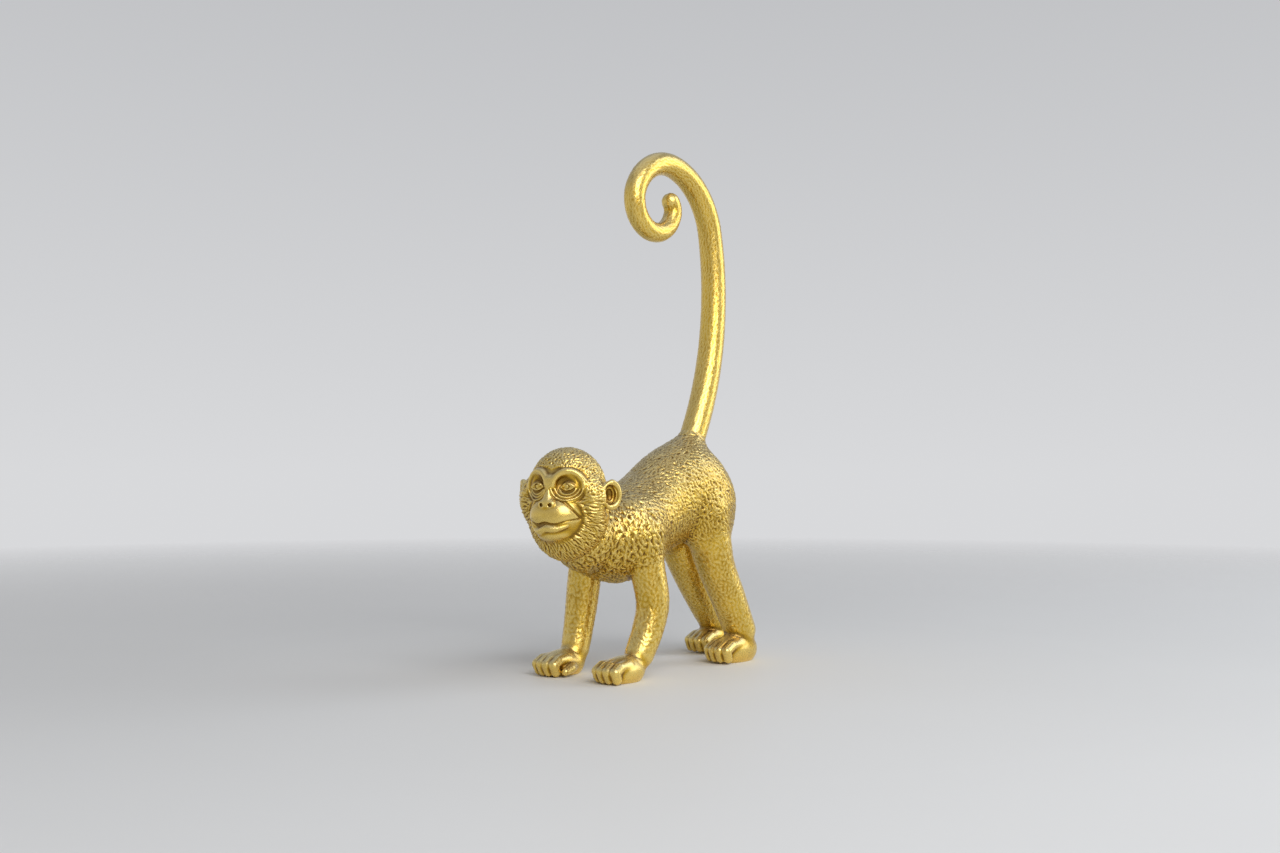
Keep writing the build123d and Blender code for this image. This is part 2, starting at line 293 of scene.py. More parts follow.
def fur(points, quads, style):
    # how far the tufts of a style raise each vertex; its mask, flow and scale are functions of points
    form = tuftForm
    normals = normalsOf(points, quads)
    mask = style["mask"](points)
    flow = style["flow"](points)
    flow = flow - normals * np.einsum("ij,ij->i", flow, normals)[:, None]
    flow /= np.linalg.norm(flow, axis=1, keepdims=True) + 1e-9
    scale = style["scale"](points) if "scale" in style else np.ones(len(points))
    tree = kdtree.KDTree(len(points))
    for i, p in enumerate(points):
        tree.insert(p, i)
    tree.balance()
    lift = np.zeros(len(points))
    taken = mask < form["leastMask"]
    for i in draws.permutation(len(points)):
        if taken[i]:
            continue
        size = scale[i]
        found = tree.find_range(points[i], style["length"] * size * form["reach"])
        near = np.fromiter((f[1] for f in found), int, len(found))
        gaps = np.fromiter((f[2] for f in found), float, len(found))
        taken[near[gaps < style["spacing"] * size]] = True
        angle = draws.normal(0, style["jitter"])
        curl = draws.normal(0, style["curl"])
        long = style["length"] * size * draws.uniform(*form["long"])
        wide = style["width"] * size * draws.uniform(*form["wide"])
        tall = style["height"] * draws.uniform(*form["tall"]) * size
        side = np.cross(normals[i], flow[i])
        way = flow[i] * math.cos(angle) + side * math.sin(angle)
        side = np.cross(normals[i], way)
        gap = points[near] - points[i]
        along = gap @ way / (long / 2)
        across = gap @ side - curl * long * (along ** 2 - form["bendAt"]) * form["bend"]
        room = np.clip(1 - along ** 2, 0, 1)
        half = wide / 2 * room ** form["taper"] + 1e-6
        bulge = np.clip(1 - (across / half) ** 2, 0, 1)
        waves = np.cos(across / wide * 2 * math.pi * style["strands"])
        strands = 1 - form["groove"] + form["groove"] * waves
        rise = form["root"] + (1 - form["root"]) * fade(along, *form["rise"])
        height = tall * np.sqrt(bulge) * rise * room ** form["rounding"] * strands
        lift[near] = np.maximum(lift[near], height)
    return lift * mask


# Body of the torso: stations along y with belly, back and half width, closed by round ends

torsoForm = {
    "stations": [-42.0, -37.9, -32.1, -22.3, -10.6, 1.1, 12.9, 22.6, 31.5, 36.3, 41.5],
    "belly": [39.0, 37.2, 37.1, 36.4, 40.6, 45.6, 49.6, 52.0, 51.9, 53.1, 54.4],
    "back": [63.0, 65.2, 67.7, 72.0, 77.2, 85.2, 90.0, 89.0, 83.7, 80.2, 78.0],
    "half": [16.0, 16.0, 16.8, 17.8, 17.1, 16.7, 17.4, 17.6, 16.8, 16.0, 15.5],
    "rowSteps": 160, "front": -42.0, "frontRound": 13.0, "rear": 39.6, "rearRound": 16.0, "roundMost": 0.999,
    "block": ((-24, -50, 32), (24, 47, 102)), "voxel": 0.41, "bodyBlend": 1.0, "blend": 4.0,
    "shoulder": ((11.0, -23.0, 55.0), (8.0, 11.5, 13.0)),
    "haunch": ((10.2, 21.8, 61.0), (7.6, 13.5, 16.5)), "haunchTilt": -16,
    "neck": ((0, -24, 52), (0, -40, 53), 14.5, 12.5),
    "tailBelow": 7, "tailAbove": 4, "tailRadii": (7.0, 4.6), "tailBlend": 5.0,
}
# Fur of the torso: where it thins on limbs and tail, which way it lies, where it is larger and shaggy
coatForm = {
    "limbMargin": 2.5, "limbFade": 2.0, "limbStart": (0.05, 0.3), "thinned": 0.92,
    "tailStart": (-2.0, 3.0), "tailReach": 12, "tailFade": 3,
    "backWay": (0, 1.0, 0.0), "flankWay": (0, 0, -0.9), "chestWay": (0, -0.6, -1.2),
    "flank": (6, 17), "chest": (20, 34), "larger": 0.25, "largerFrom": (8, 26), "largerBelow": (80, 20),
    "shaggyFrom": (4, 26), "shaggyBelow": (78, 16),
}
clumpStyle = {"spacing": 2.0, "length": 6.0, "width": 2.8, "height": 0.6, "jitter": 0.4, "curl": 0.35,
              "strands": 3.0}
tuftStyle = {"spacing": 1.0, "length": 4.2, "width": 1.4, "height": 0.5, "jitter": 0.45, "curl": 0.6,
             "strands": 2.0}


def torsoBody():
    form = torsoForm

    def smoothRow(key, y):
        knots = np.stack([form["stations"], form[key]], 1)
        line = curvePoints(knots, form["rowSteps"])
        return np.interp(y, line[:, 0], line[:, 1])

    def distance(x, y, z):
        flat = y.ravel()
        most = form["roundMost"]
        front = np.clip((form["front"] + form["frontRound"] - flat) / form["frontRound"], 0, most)
        rear = np.clip((flat - form["rear"] + form["rearRound"]) / form["rearRound"], 0, most)
        cap = np.sqrt(1 - front ** 2) * np.sqrt(1 - rear ** 2)
        belly, back = smoothRow("belly", flat), smoothRow("back", flat)
        half = (smoothRow("half", flat) * cap)[None, :, None]
        tall = ((back - belly) / 2 * cap)[None, :, None]
        middle = ((back + belly) / 2)[None, :, None]
        u, v = x / half, (z - middle) / tall
        near = np.sqrt(u * u + v * v)
        slope = np.sqrt((u / half) ** 2 + (v / tall) ** 2) + 1e-6
        past = np.maximum(y - form["rear"], form["front"] - y)
        return np.maximum(near * (near - 1) / slope, past).astype(np.float32)

    low = [-max(form["half"]), form["front"], min(form["belly"])]
    high = [max(form["half"]), form["rear"], max(form["back"])]
    return low, high, distance


# Limbs: knots of the middle line with the radius there
limbForms = {
    "left_arm": {
        "knots": [(12.3, -23.0, 53), (14.4, -21.2, 39), (15.6, -20.0, 27.5),
                  (15.4, -23.2, 17), (15.2, -27.2, 9.5)],
        "radii": [7.3, 6.6, 6.2, 5.8, 5.6], "tip": -49.0, "spread": 15.2, "side": 1},
    "right_arm": {
        "knots": [(-12.3, -24.5, 53), (-14.4, -25.6, 39), (-15.5, -26.4, 27),
                  (-15.6, -28.2, 17), (-15.2, -30.3, 9.5)],
        "radii": [7.3, 6.5, 6.2, 5.7, 5.5], "tip": -49.8, "spread": 15.2, "side": -1},
    "left_leg": {
        "knots": [(10.0, 18.5, 62), (10.8, 21.7, 49), (11.3, 25.0, 39),
                  (12.4, 31.7, 26), (13.2, 38.3, 12.5)],
        "radii": [9.4, 8.6, 7.6, 7.0, 6.5], "tip": 20.0, "spread": 13.2, "side": 1},
    "right_leg": {
        "knots": [(-10.0, 22.0, 62), (-10.6, 28.0, 49), (-11.1, 33.5, 39),
                  (-12.2, 44.5, 25), (-13.2, 55.5, 12.5)],
        "radii": [9.4, 8.6, 7.6, 7.0, 6.4], "tip": 40.0, "spread": 13.2, "side": -1},
}
limbBuild = {"steps": 40, "stride": 3, "margin": 2, "voxel": 0.32, "blend": 0.2, "furFrom": (8, 15),
             "furry": 0.1}
# How far down a limb the torso's fur reaches, and how it sinks into the limb on the way
sleeveForm = {"share": 0.46, "proud": 0.1, "sink": 1.2, "curve": 1.5}


def limbLine(form):
    count = limbBuild["steps"]
    line = curvePoints(form["knots"], count)
    radii = np.interp(np.linspace(0, 1, count), np.linspace(0, 1, len(form["radii"])), form["radii"])
    return line, radii


def sculptTorso():
    form, coat, stride = torsoForm, coatForm, limbBuild["stride"]
    clay = Clay(*form["block"], form["voxel"])
    clay.add(torsoBody(), form["bodyBlend"])
    for side in (1, -1):
        place, radii = form["shoulder"]
        clay.add(ball(mirrored(place, side), radii), form["blend"])
        place, radii = form["haunch"]
        clay.add(ball(mirrored(place, side), radii, 0, form["haunchTilt"]), form["blend"])
    for limb in limbForms.values():
        line, radii = limbLine(limb)
        last = int(len(line) * sleeveForm["share"])
        sunk = sleeveForm["proud"] - sleeveForm["sink"] * np.linspace(0, 1, last + 1) ** sleeveForm["curve"]
        clay.add(strand(line[:last + 1:stride], (radii[:last + 1] + sunk)[::stride]), form["blend"])
    clay.add(rod(*form["neck"]), form["blend"])
    root = np.array(tailForm["root"])
    lean = math.radians(tailForm["lean"])
    way = np.array((0, math.sin(lean), math.cos(lean)))
    clay.add(rod(root - way * form["tailBelow"], root + way * form["tailAbove"], *form["tailRadii"]),
             form["tailBlend"])
    points, quads = clay.mesh()
    quads = outward(points, quads)

    def mask(p):
        bare = np.zeros(len(p))
        for limb in limbForms.values():
            line, radii = limbLine(limb)
            gap = np.linalg.norm(p[:, None, :] - line[None, ::2, :], axis=2)
            nearest = gap.argmin(1)
            on = fade(radii[::2][nearest] + coat["limbMargin"] - gap.min(1), 0, coat["limbFade"])
            bare = np.maximum(bare, on * fade(nearest / (len(line) / 2), *coat["limbStart"]))
        near = fade(coat["tailReach"] - np.linalg.norm(p - root, axis=1), 0, coat["tailFade"])
        tail = fade((p - root) @ way, *coat["tailStart"]) * near
        return 1 - np.maximum(bare, tail) * coat["thinned"]

    def flow(p):
        down = fade(np.abs(p[:, 0]), *coat["flank"])[:, None]
        chest = fade(-p[:, 1], *coat["chest"])[:, None]
        lie = np.array(coat["backWay"]) + down * np.array(coat["flankWay"])
        return lie + chest * np.array(coat["chestWay"])

    def scale(p):
        top, soft = coat["largerBelow"]
        chest = fade(-p[:, 1], *coat["largerFrom"]) * fade(top - p[:, 2], 0, soft)
        return 1.0 + coat["larger"] * chest

    def shaggy(p):
        top, soft = coat["shaggyBelow"]
        return mask(p) * fade(-p[:, 1], *coat["shaggyFrom"]) * fade(top - p[:, 2], 0, soft)

    clumps = dict(clumpStyle, mask=shaggy, flow=flow)
    tufts = dict(tuftStyle, mask=mask, flow=flow, scale=scale)
    furry = mask(points)
    lift = fur(points, quads, clumps) + fur(points, quads, tufts)
    return makePiece("torso_fur", raised(points, quads, lift), quads, furry)


# Paws: shares of length, width and height, but radii and blends in millimetres. A digit's bone is share
# across, share along, millimetres more along and share up. A thumb's is millimetres out from the inner
# edge, share along and share up.
pawForms = {
    "arm": {"length": 22.5, "width": 12.6, "height": 11.0},
    "leg": {"length": 27.5, "width": 12.6, "height": 13.0},
}
pawMasses = {"heel": (-0.36, 0.36, (0.47, 0.36, 0.52)), "tip": (0.42, 0.38, (0.49, 0.32, 0.44))}
pawBlend = 2.5
digitForm = {
    "count": 4, "arch": 0.28, "radii": [1.9, 2.0, 2.05, 1.9], "blend": 0.75,
    "bones": [(0.78, 0.46, 0.0, 0.60), (0.92, 0.22, 0.0, 0.56), (0.95, 0.0, 2.3, 0.42), (0.93, 0.0, 3.4, 0.19)],
}
thumbForm = {"bones": [(2.2, 0.62, 0.32), (-0.6, 0.44, 0.28), (-1.2, 0.28, 0.2)], "radii": [2.1, 1.9, 1.5],
             "blend": 0.6}
limbStyle = {"spacing": 1.25, "length": 3.4, "width": 1.9, "height": 0.2, "jitter": 0.6, "curl": 0.3,
             "strands": 1.0}


def paw(clay, form, sizes):
    length, width, height = sizes["length"], sizes["width"], sizes["height"]
    side, tip = form["side"], form["tip"]
    middle = side * form["spread"]
    for end, start in (("heel", tip + length), ("tip", tip)):
        along, up, (wide, long, tall) = pawMasses[end]
        centre = (middle, start + length * along, height * up)
        clay.add(ball(centre, (width * wide, length * long, height * tall)), pawBlend)
    count = digitForm["count"]
    for i in range(count):
        across = width * ((i + 0.5) / count - 0.5)
        back = length * digitForm["arch"] * (across / width) ** 2
        line = [(middle + across * wide, tip + back + (length * share + more), height * up)
                for wide, share, more, up in digitForm["bones"]]
        clay.add(strand(line, digitForm["radii"]), digitForm["blend"])
    inner = middle - side * width / 2
    thumb = [(inner + side * out, tip + length * share, height * up) for out, share, up in thumbForm["bones"]]
    clay.add(strand(thumb, thumbForm["radii"]), thumbForm["blend"])


def sculptLimb(name):
    form, build = limbForms[name], limbBuild
    sizes = pawForms[name.split("_")[1]]
    line, radii = limbLine(form)
    low, high = (np.array(corner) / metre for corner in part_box(name))
    clay = Clay(low - build["margin"], high + build["margin"], build["voxel"])
    clay.add(strand(line[::build["stride"]], radii[::build["stride"]]), build["blend"])
    paw(clay, form, sizes)
    points, quads = clay.mesh()
    quads = outward(points, quads)

    def mask(p):
        return fade(p[:, 2], *build["furFrom"])

    def flow(p):
        return np.tile(line[-1] - line[0], (len(p), 1))

    lift = fur(points, quads, dict(limbStyle, mask=mask, flow=flow))
    points = raised(points, quads, lift)
    points[:, 2] = np.maximum(points[:, 2], 0.0)
    return makePiece(name + "_cast", points, quads, build["furry"] * mask(points))


# Tail: rings along tangent bends, with short hair lying towards the tip

tailForm = {
    "root": (0.0, 23.5, 92.0), "lean": 27.0, "spigot": 9.0, "rootRadius": 5.5, "tipRadius": 3.7, "hair": 0.15,
    "bends": [(134.0, 38.0), (31.0, 66.5), (21.0, 75.5), (12.0, 190.5), (5.5, 60.0)],
    "step": 0.55, "leastSteps": 4, "sides": 56, "tipTurn": 84, "tipRings": 8, "furry": 0.1,
}
tailStyle = {"spacing": 1.0, "length": 3.0, "width": 1.1, "height": 0.16, "jitter": 0.28, "curl": 0.2,
             "strands": 1.0}


def tailLine():
    step = tailForm["step"]
    heading = math.radians(tailForm["lean"])
    root = np.array(tailForm["root"][1:])
    way = np.array((math.sin(heading), math.cos(heading)))
    places, ways = [], []
    for s in np.arange(-tailForm["spigot"], 0, step):
        places.append(root + way * s)
        ways.append(way)
    here = root
    for radius, turn in tailForm["bends"]:
        hub = here + radius * np.array((-math.cos(heading), math.sin(heading)))
        count = max(int(radius * math.radians(turn) / step), tailForm["leastSteps"])
        for k in range(count):
            now = heading - math.radians(turn) * k / count
            places.append(hub + radius * np.array((math.cos(now), -math.sin(now))))
            ways.append(np.array((math.sin(now), math.cos(now))))
        heading -= math.radians(turn)
        here = hub + radius * np.array((math.cos(heading), -math.sin(heading)))
    places.append(here)
    ways.append(np.array((math.sin(heading), math.cos(heading))))
    return np.array(places), np.array(ways)


def sculptTail():
    places, ways = tailLine()
    steps = np.concatenate([[0], np.cumsum(np.linalg.norm(np.diff(places, axis=0), axis=1))])
    taper = tailForm["rootRadius"] - tailForm["tipRadius"]
    radii = tailForm["rootRadius"] - taper * (steps / steps[-1]) ** 2
    radii = radii - tailForm["hair"]
    sides = tailForm["sides"]
    rings = list(zip(places, ways, radii))
    end, way, radius = rings[-1]
    for angle in np.linspace(0, tailForm["tipTurn"], tailForm["tipRings"] + 1)[1:]:
        a = math.radians(angle)
        rings.append((end + way * radius * math.sin(a), way, radius * math.cos(a)))
    points = []
    for place, way, radius in rings:
        for k in range(sides):
            a = 2 * math.pi * k / sides
            out = np.array((-way[1], way[0])) * math.sin(a)
            points.append((radius * math.cos(a), place[0] + radius * out[0], place[1] + radius * out[1]))
    points = np.array(points)
    count = len(rings)
    quads = []
    for i in range(count - 1):
        for k in range(sides):
            m = (k + 1) % sides
            quads.append((i * sides + k, i * sides + m, (i + 1) * sides + m, (i + 1) * sides + k))
    for first in (0, (count - 1) * sides):
        for k in range(1, sides // 2):
            quads.append((first + k - 1, first + k, first + sides - 1 - k, first + (sides - k) % sides))
    quads = np.array(quads)
    quads = outward(points, quads)
    flows = np.repeat(np.array([(0, w[0], w[1]) for _, w, _ in rings]), sides, axis=0)

    style = dict(tailStyle, mask=lambda p: np.ones(len(p)), flow=lambda p: flows)
    points = raised(points, quads, fur(points, quads, style))
    return makePiece("tail_cast", points, quads, np.full(len(points), tailForm["furry"]))


# Head, in its own axes: x to its left, y to its back, z up from the middle of the skull
headForm = {
    "place": np.array((0.4, -51.0, 69.0)), "turn": 14.0,
    "block": ((-25, -21, -29), (25, 22, 21)), "voxel": 0.235, "furry": 0.3,
    # centre, radii and blend of each mass
    "skull": [((0, 0.2, 2.4), (14.2, 13.2, 15.2), 1.0), ((0, 0.5, -7.5), (15.0, 11.2, 14.6), 3.0),
              ((0, -0.8, -12.6), (10.6, 8.8, 10.6), 3.0)],
    "neck": ((0, 4, -8), (0, 12, -14), 13.0, 11.5), "neckBlend": 3.0,
    "muzzle": [((0, -8.2, -7.2), (10.0, 8.6, 8.0), 2.5), ((0, -9.2, -13.2), (6.6, 6.4, 3.8), 1.5)],
}
eyeForm = {
    "x": 6.3, "z": 3.5,
    "browReach": (5.1, 5.6), "browAngles": range(-80, 101, 15), "browRise": 0.3, "browBlend": 1.3,
    "browRadii": [0.8, 0.9, 1.0, 1.0, 1.05, 1.05, 1.05, 1.05, 1.0, 1.0, 0.9, 0.8, 0.7],
    "bagReach": (5.1, 5.3), "bagAngles": range(100, 231, 13), "bagRise": -0.2, "bagBlend": 0.9,
    "bagRadius": 0.42,
    "socketShift": (-2.2, 0.9), "socketRadii": (4.6, 4.2, 4.3), "socketTurn": 22, "socketBlend": 0.9,
    "ballDepth": 2.6, "ballRadii": (2.8, 2.5, 2.2), "ballTurn": 20, "ballBlend": 0.5,
    "lids": ((1.05, 0.5), (-1.0, 0.42)), "lidHalf": 2.5, "lidSlant": 0.15, "lidKnots": 9, "lidBlend": 0.25,
    "irisDepth": 0.05, "irisSide": 0.3, "irisRadius": 0.85, "irisThick": 0.25, "irisBlend": 0.12,
}
noseForm = {
    "bridgeTop": 6.0, "bridgeSunk": 0.4, "bridge": [(0, -13.0, 2.0), (0, -14.2, -1.6)],
    "bridgeRadii": [1.3, 1.4, 1.8], "bridgeBlend": 1.6,
    "tip": ((0, -14.2, -2.9), (3.1, 2.2, 1.9)), "tipBlend": 1.0,
    "wing": ((2.0, -14.9, -2.9), (1.45, 1.2, 1.25)), "wingBlend": 0.5,
    "nostril": ((1.75, -16.2, -3.2), (0.75, 1.3, 0.68)), "nostrilTurn": -15, "nostrilBlend": 0.25,
    "fold": [(3.5, -1.0), (6.3, -2.2), (8.9, -4.8), (10.4, -7.6)], "foldRadii": [0.3, 0.4, 0.4, 0.3],
    "foldBlend": 0.7,
}
# A soft M, parted a little more on its right
mouthForm = {
    "half": 10.3, "knots": 21, "z": -10.0, "lift": 1.8, "curve": 1.7, "peak": 0.55, "peakWide": 1.6,
    "dip": 0.45, "dipAt": 4.2, "dipWide": 2.2, "partAt": 3.0, "partWide": 3.6,
    "lipTrim": 3, "lipDrop": 1.75, "lipRise": 0.1, "lipRadius": 0.5, "lipSwell": 0.75, "lipBlend": 0.8,
    "gapDrop": 0.55, "gapRadius": 0.3, "gapSwell": 0.5, "gapBlend": 0.3,
}
# Shifts are along the way the ear faces and along the way to its front edge
earForm = {
    "place": (18.4, -0.3, 0.4), "turn": 56, "frontWay": (-0.56, -0.83, 0.0),
    "plateOut": -0.8, "plateRadii": (3.2, 1.7, 5.2), "plateBlend": 1.0,
    "stemStart": (12, 0.5, -0.5), "stemOut": -1.6, "stemRadii": (4.2, 3.2), "stemBlend": 1.5,
    "edgeOut": 0.5, "edge": (4.5, 1.2, 0.72), "edgeThin": 0.9, "edgeBlend": 0.5,
    "bowlOut": 0.9, "bowlFront": 0.9, "bowlRadii": (2.6, 2.2, 3.6), "bowlBlend": 0.5,
    "foldOut": -0.5, "foldFront": 0.5, "fold": (2.7, 0.5, 0.62), "foldThin": 1.0, "foldBlend": 0.35,
    "cheek": ((13.4, -3.6, -1.2), (2.8, 3.6, 6.6)), "cheekTurn": 30, "cheekBlend": 4.0,
}
# Folds of skin below the eyes
skinForm = {"tall": 1.05, "below": (0.4, 1.6), "inner": (2.3, 2.8), "outer": (6.2, 5.5), "behind": -5,
            "height": 0.32, "firstAt": 3.1, "pitch": 1.1}
# Edges of the bare face: rings round the eyes, forehead and muzzle
faceForm = {
    "ringUp": 0.2, "ringTall": 0.93, "ring": (6.8, 6.0), "foreheadSide": (7.5, 6.0), "foreheadTop": (10.1, 9.1),
    "wave": 0.9, "waveRate": 0.5, "foreheadLow": (-4, -2), "muzzleWide": 11.0, "muzzleTall": 9.5,
    "muzzleDrop": 7.4, "muzzleEdge": (1.06, 0.96), "front": (-2.5, -5.0),
}
headCoat = {"earLean": 0.68, "earSide": (15.0, 16.2), "earTall": (8.0, 6.5), "earBehind": (4.5, 3.0),
            "whorl": (0, 0, -3.0), "backWay": (0, 0.8, 0), "ruffTop": (4.0, -2.0), "ruffBehind": (6, 1)}
capStyle = {"spacing": 0.85, "length": 2.6, "width": 1.3, "height": 0.6, "jitter": 0.8, "curl": 0.8,
            "strands": 1.5}
ruffStyle = {"spacing": 0.95, "length": 6.4, "width": 1.35, "height": 1.15, "jitter": 0.14, "curl": 0.2,
             "strands": 1.0}


def headToFrame(points):
    c, s = math.cos(math.radians(headForm["turn"])), math.sin(math.radians(headForm["turn"]))
    x, y, z = points[:, 0], points[:, 1], points[:, 2]
    return np.stack([x * c - y * s, x * s + y * c, z], 1) + headForm["place"]


def faceShare(p):
    # 1 on the bare skin of the face, 0 in the fur
    form = faceForm
    x, y, z = np.abs(p[:, 0]), p[:, 1], p[:, 2]
    ring = np.hypot(x - eyeForm["x"], (z - eyeForm["z"] - form["ringUp"]) * form["ringTall"])
    wave = form["wave"] * np.sin(x * form["waveRate"])
    start, end = form["foreheadTop"]
    forehead = fade(x, *form["foreheadSide"]) * fade(z, start + wave, end + wave)
    forehead = forehead * fade(z, *form["foreheadLow"])
    muzzle = np.hypot(x / form["muzzleWide"], (z + form["muzzleDrop"]) / form["muzzleTall"])
    bare = np.maximum(np.maximum(fade(ring, *form["ring"]), forehead), fade(muzzle, *form["muzzleEdge"]))
    return bare * fade(y, *form["front"])


def laid(clay, points, rise, radii):
    # a line given in x and z, laid on the face and raised from it
    return strand([(x, clay.front(x, z) - rise, z) for x, z in points], radii)


def addEyes(clay):
    form = eyeForm
    eyeX, eyeZ = form["x"], form["z"]

    def arc(side, reach, angles):
        wide, high = reach
        return [(side * (eyeX + wide * math.sin(math.radians(a))), eyeZ + high * math.cos(math.radians(a)))
                for a in angles]

    brows, bags, sockets = [], [], []
    for side in (1, -1):
        brow = arc(side, form["browReach"], form["browAngles"])
        brows.append(laid(clay, brow, form["browRise"], form["browRadii"]))
        bag = arc(side, form["bagReach"], form["bagAngles"])
        bags.append(laid(clay, bag, form["bagRise"], np.full(len(bag), form["bagRadius"])))
        sockets.append((side, clay.front(side * eyeX, eyeZ)))
    ahead, up = form["socketShift"]
    for side, surface in sockets:
        centre = (side * eyeX, surface + ahead, eyeZ + up)
        clay.carve(ball(centre, form["socketRadii"], side * form["socketTurn"]), form["socketBlend"])
    for brow in brows:
        clay.add(brow, form["browBlend"])
    for bag in bags:
        clay.add(bag, form["bagBlend"])
    for side, surface in sockets:
        centre = (side * eyeX, surface + form["ballDepth"], eyeZ)
        clay.add(ball(centre, form["ballRadii"], side * form["ballTurn"]), form["ballBlend"])
        for rise, thick in form["lids"]:
            rim = []
            for t in np.linspace(-1, 1, form["lidKnots"]):
                x = side * eyeX + form["lidHalf"] * t
                z = eyeZ + rise * (1 - t * t) - form["lidSlant"] + form["lidSlant"] * t
                rim.append((x, clay.front(x, z), z))
            clay.add(strand(rim, np.full(len(rim), thick)), form["lidBlend"])
        centre = (side * eyeX, clay.front(side * eyeX, eyeZ) + form["irisDepth"], eyeZ)
        iris = hoop(centre, (side * form["irisSide"], -1, 0), form["irisRadius"], form["irisThick"])
        clay.carve(iris, form["irisBlend"])


def addNose(clay):
    form = noseForm
    top = form["bridgeTop"]
    bridge = [(0, clay.front(0, top) + form["bridgeSunk"], top), *form["bridge"]]
    clay.add(strand(bridge, form["bridgeRadii"]), form["bridgeBlend"])
    clay.add(ball(*form["tip"]), form["tipBlend"])
    for side in (1, -1):
        place, radii = form["wing"]
        clay.add(ball(mirrored(place, side), radii), form["wingBlend"])
        place, radii = form["nostril"]
        clay.carve(ball(mirrored(place, side), radii, side * form["nostrilTurn"]), form["nostrilBlend"])
        fold = [mirrored(place, side) for place in form["fold"]]
        clay.carve(laid(clay, fold, 0.0, form["foldRadii"]), form["foldBlend"])


def addMouth(clay):
    form = mouthForm
    half, trim = form["half"], form["lipTrim"]
    mouth = []
    for x in np.linspace(-half, half, form["knots"]):
        bow = form["peak"] * math.exp(-(x / form["peakWide"]) ** 2)
        bow = bow - form["dip"] * math.exp(-((abs(x) - form["dipAt"]) / form["dipWide"]) ** 2)
        mouth.append((x, form["z"] + form["lift"] * (abs(x) / half) ** form["curve"] + bow))
    drop = [math.exp(-((x + form["partAt"]) / form["partWide"]) ** 2) for x, z in mouth]
    lower = [(x, z - form["lipDrop"] - d) for (x, z), d in zip(mouth[trim:-trim], drop[trim:-trim])]
    swell = 1 - np.linspace(-1, 1, len(lower)) ** 2
    radii = form["lipRadius"] + form["lipSwell"] * swell
    clay.add(laid(clay, lower, form["lipRise"], radii), form["lipBlend"])
    parting = [(x, z - form["gapDrop"] * d) for (x, z), d in zip(mouth, drop)]
    radii = form["gapRadius"] + form["gapSwell"] * np.array(drop)
    clay.carve(laid(clay, parting, 0.0, radii), form["gapBlend"])


def addEars(clay):
    form = earForm
    turn = math.radians(form["turn"])
    for side in (1, -1):
        facing = np.array((side * math.sin(turn), -math.cos(turn), 0.0))
        front = np.array(mirrored(form["frontWay"], side))
        ear = np.array(mirrored(form["place"], side))
        plate = ball(ear + facing * form["plateOut"], form["plateRadii"], side * form["turn"])
        clay.add(plate, form["plateBlend"])
        stemStart = mirrored(form["stemStart"], side)
        clay.add(rod(stemStart, ear + facing * form["stemOut"], *form["stemRadii"]), form["stemBlend"])
        edge = hoop(ear + facing * form["edgeOut"], facing, *form["edge"], side * form["edgeThin"])
        clay.add(edge, form["edgeBlend"])
        centre = ear + facing * form["bowlOut"] + front * form["bowlFront"]
        clay.carve(ball(centre, form["bowlRadii"], side * form["turn"]), form["bowlBlend"])
        centre = ear + facing * form["foldOut"] + front * form["foldFront"]
        clay.add(hoop(centre, facing, *form["fold"], side * form["foldThin"]), form["foldBlend"])
        place, radii = form["cheek"]
        clay.add(ball(mirrored(place, side), radii, side * form["cheekTurn"]), form["cheekBlend"])


def skinFolds(points):
    form = skinForm
    x, z = np.abs(points[:, 0]), points[:, 2]
    away = np.hypot(x - eyeForm["x"], (z - eyeForm["z"]) * form["tall"])
    below = fade(eyeForm["z"] - z, *form["below"]) * fade(away, *form["inner"]) * fade(away, *form["outer"])
    below = below * (points[:, 1] < form["behind"])
    return form["height"] * np.cos((away - form["firstAt"]) * 2 * math.pi / form["pitch"]) * below


def sculptHead():
    form, coat = headForm, headCoat
    clay = Clay(*form["block"], form["voxel"])
    for centre, radii, soft in form["skull"]:
        clay.add(ball(centre, radii), soft)
    clay.add(rod(*form["neck"]), form["neckBlend"])
    for centre, radii, soft in form["muzzle"]:
        clay.add(ball(centre, radii), soft)
    addEyes(clay)
    addNose(clay)
    addMouth(clay)
    addEars(clay)
    points, quads = clay.mesh()
    quads = outward(points, quads)
    points = raised(points, quads, skinFolds(points))

    def mask(p):
        ears = fade(np.abs(p[:, 0]) + coat["earLean"] * p[:, 1], *coat["earSide"])
        ears = ears * fade(np.abs(p[:, 2]), *coat["earTall"]) * fade(p[:, 1], *coat["earBehind"])
        return (1 - faceShare(p)) * (1 - ears)

    def flow(p):
        radial = (p - np.array(coat["whorl"])) * np.array((1, 0, 1))
        radial /= np.linalg.norm(radial, axis=1, keepdims=True) + 1e-6
        return radial + np.array(coat["backWay"])

    def ruff(p):
        return mask(p) * fade(p[:, 2], *coat["ruffTop"]) * fade(p[:, 1], *coat["ruffBehind"])

    def cap(p):
        return np.clip(mask(p) - ruff(p), 0, 1)

    furry = mask(points)
    lift = fur(points, quads, dict(capStyle, mask=cap, flow=flow))
    lift = lift + fur(points, quads, dict(ruffStyle, mask=ruff, flow=flow))
    points = headToFrame(raised(points, quads, lift))
    return makePiece("head_fur", points, quads, form["furry"] * furry)


# Materials

def socketed(group, name, kind, way):
    return group.interface.new_socket(name=name, socket_type=kind, in_out=way)


def mixedBy(nodes, links, factor, a, b):
    # a colour between a and b
    mix = nodes.new("ShaderNodeMix")
    mix.data_type = "RGBA"
    links.new(factor, mix.inputs[0])
    for socket, value in ((mix.inputs[6], a), (mix.inputs[7], b)):
        if isinstance(value, tuple):
            socket.default_value = (*value, 1)
        else:
            links.new(value, socket)
    return mix.outputs[2]


